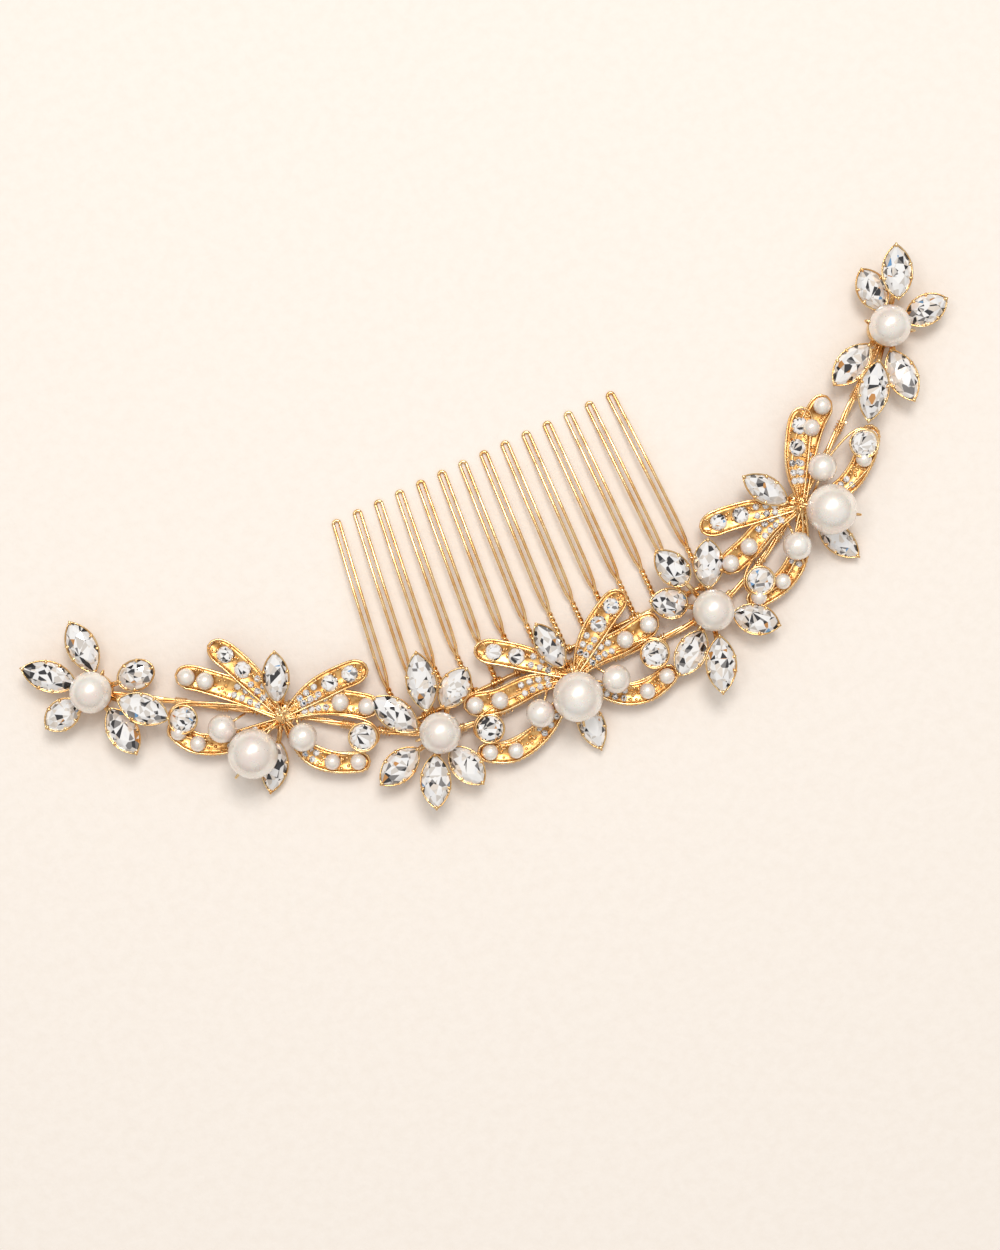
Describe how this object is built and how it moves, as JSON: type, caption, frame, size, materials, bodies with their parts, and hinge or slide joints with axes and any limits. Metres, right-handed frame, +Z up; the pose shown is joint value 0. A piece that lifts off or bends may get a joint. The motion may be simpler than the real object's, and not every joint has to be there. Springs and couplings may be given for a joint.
{
  "type": "decorative hair comb",
  "caption": "Crescent bridal hair comb: a gold wire vine with crystal flowers, leaf sprays and wired pearls, held by a row of hairpin prongs.",
  "frame": {"origin": "middle of the whole comb, on the plane that its back plates and prong tips lie on", "axes": "+X along the comb bar, +Y towards the prong tips, +Z up from the back to the pearls"},
  "size_m": [0.199, 0.0686, 0.0147],
  "materials": {
    "gold": "polished gold plate",
    "pearl": "pearl lustre",
    "crystal": "polished, cut"
  },
  "bodies": {
    "root": {"flower_a_setting": "gold", "flower_a_stone_1": "crystal", "flower_a_stone_2": "crystal", "flower_a_stone_3": "crystal", "flower_a_stone_4": "crystal", "flower_a_stone_5": "crystal", "flower_a_stone_6": "crystal", "flower_c_setting": "gold", "flower_c_stone_1": "crystal", "flower_c_stone_2": "crystal", "flower_c_stone_3": "crystal", "flower_c_stone_4": "crystal", "flower_c_stone_5": "crystal", "flower_c_stone_6": "crystal", "flower_e_setting": "gold", "flower_e_stone_1": "crystal", "flower_e_stone_2": "crystal", "flower_e_stone_3": "crystal", "flower_e_stone_4": "crystal", "flower_e_stone_5": "crystal", "flower_e_stone_6": "crystal", "flower_g_setting": "gold", "flower_g_stone_1": "crystal", "flower_g_stone_2": "crystal", "flower_g_stone_3": "crystal", "flower_g_stone_4": "crystal", "flower_g_stone_5": "crystal", "flower_g_stone_6": "crystal", "spray_b_frame": "gold", "spray_d_frame": "gold", "spray_f_frame": "gold", "vine_wire": "gold", "comb_bar": "gold", "prong_01": "gold", "prong_02": "gold", "prong_03": "gold", "prong_04": "gold", "prong_05": "gold", "prong_06": "gold", "prong_07": "gold", "prong_08": "gold", "prong_09": "gold", "prong_10": "gold", "prong_11": "gold", "prong_12": "gold", "prong_13": "gold", "prong_14": "gold"},
    "flower_a_pearl": {"flower_a_pearl": "pearl"},
    "flower_c_pearl": {"flower_c_pearl": "pearl"},
    "flower_e_pearl": {"flower_e_pearl": "pearl"},
    "flower_g_pearl": {"flower_g_pearl": "pearl"},
    "spray_b_large_pearl": {"spray_b_large_pearl": "pearl"},
    "spray_b_small_pearl_1": {"spray_b_small_pearl_1": "pearl"},
    "spray_b_small_pearl_2": {"spray_b_small_pearl_2": "pearl"},
    "spray_d_large_pearl": {"spray_d_large_pearl": "pearl"},
    "spray_d_small_pearl_1": {"spray_d_small_pearl_1": "pearl"},
    "spray_d_small_pearl_2": {"spray_d_small_pearl_2": "pearl"},
    "spray_f_large_pearl": {"spray_f_large_pearl": "pearl"},
    "spray_f_small_pearl_1": {"spray_f_small_pearl_1": "pearl"},
    "spray_f_small_pearl_2": {"spray_f_small_pearl_2": "pearl"}
  },
  "joints": [
    {"name": "flower_a_pearl_turn", "type": "hinge", "parent": "root", "child": "flower_a_pearl", "pos_m": [-0.08747, 0.01916, 0.00885], "axis": [0.8231, 0.5678, 0], "continuous": true},
    {"name": "flower_c_pearl_turn", "type": "hinge", "parent": "root", "child": "flower_c_pearl", "pos_m": [-0.02837, -0.01724, 0.00885], "axis": [0.993, -0.1184, 0], "continuous": true},
    {"name": "flower_e_pearl_turn", "type": "hinge", "parent": "root", "child": "flower_e_pearl", "pos_m": [0.03068, -0.01807, 0.00885], "axis": [0.8949, 0.4462, 0], "continuous": true},
    {"name": "flower_g_pearl_turn", "type": "hinge", "parent": "root", "child": "flower_g_pearl", "pos_m": [0.08591, 0.01809, 0.00885], "axis": [-0.8049, 0.5934, 0], "continuous": true},
    {"name": "spray_b_large_pearl_turn", "type": "hinge", "parent": "root", "child": "spray_b_large_pearl", "pos_m": [-0.06348, -0.0053, 0.0097], "axis": [0.8677, 0.4971, 0], "continuous": true},
    {"name": "spray_b_small_pearl_1_turn", "type": "hinge", "parent": "root", "child": "spray_b_small_pearl_1", "pos_m": [-0.06712, 0.00172, 0.00755], "axis": [0.9866, 0.1634, 0], "continuous": true},
    {"name": "spray_b_small_pearl_2_turn", "type": "hinge", "parent": "root", "child": "spray_b_small_pearl_2", "pos_m": [-0.05333, -0.00655, 0.00755], "axis": [0.079, 0.9969, 0], "continuous": true},
    {"name": "spray_d_large_pearl_turn", "type": "hinge", "parent": "root", "child": "spray_d_large_pearl", "pos_m": [-0.00077, -0.02218, 0.0097], "axis": [0.2198, 0.9756, 0], "continuous": true},
    {"name": "spray_d_small_pearl_1_turn", "type": "hinge", "parent": "root", "child": "spray_d_small_pearl_1", "pos_m": [-0.00884, -0.0221, 0.00755], "axis": [0.6659, 0.7461, 0], "continuous": true},
    {"name": "spray_d_small_pearl_2_turn", "type": "hinge", "parent": "root", "child": "spray_d_small_pearl_2", "pos_m": [0.00761, -0.02227, 0.00755], "axis": [-0.5804, 0.8143, 0], "continuous": true},
    {"name": "spray_f_large_pearl_turn", "type": "hinge", "parent": "root", "child": "spray_f_large_pearl", "pos_m": [0.06009, -0.00984, 0.0097], "axis": [-0.8138, 0.5812, 0], "continuous": true},
    {"name": "spray_f_small_pearl_1_turn", "type": "hinge", "parent": "root", "child": "spray_f_small_pearl_1", "pos_m": [0.05112, -0.01357, 0.00755], "axis": [0.0755, 0.9971, 0], "continuous": true},
    {"name": "spray_f_small_pearl_2_turn", "type": "hinge", "parent": "root", "child": "spray_f_small_pearl_2", "pos_m": [0.06217, -0.00162, 0.00755], "axis": [-0.6636, -0.7481, 0], "continuous": true}
  ]
}
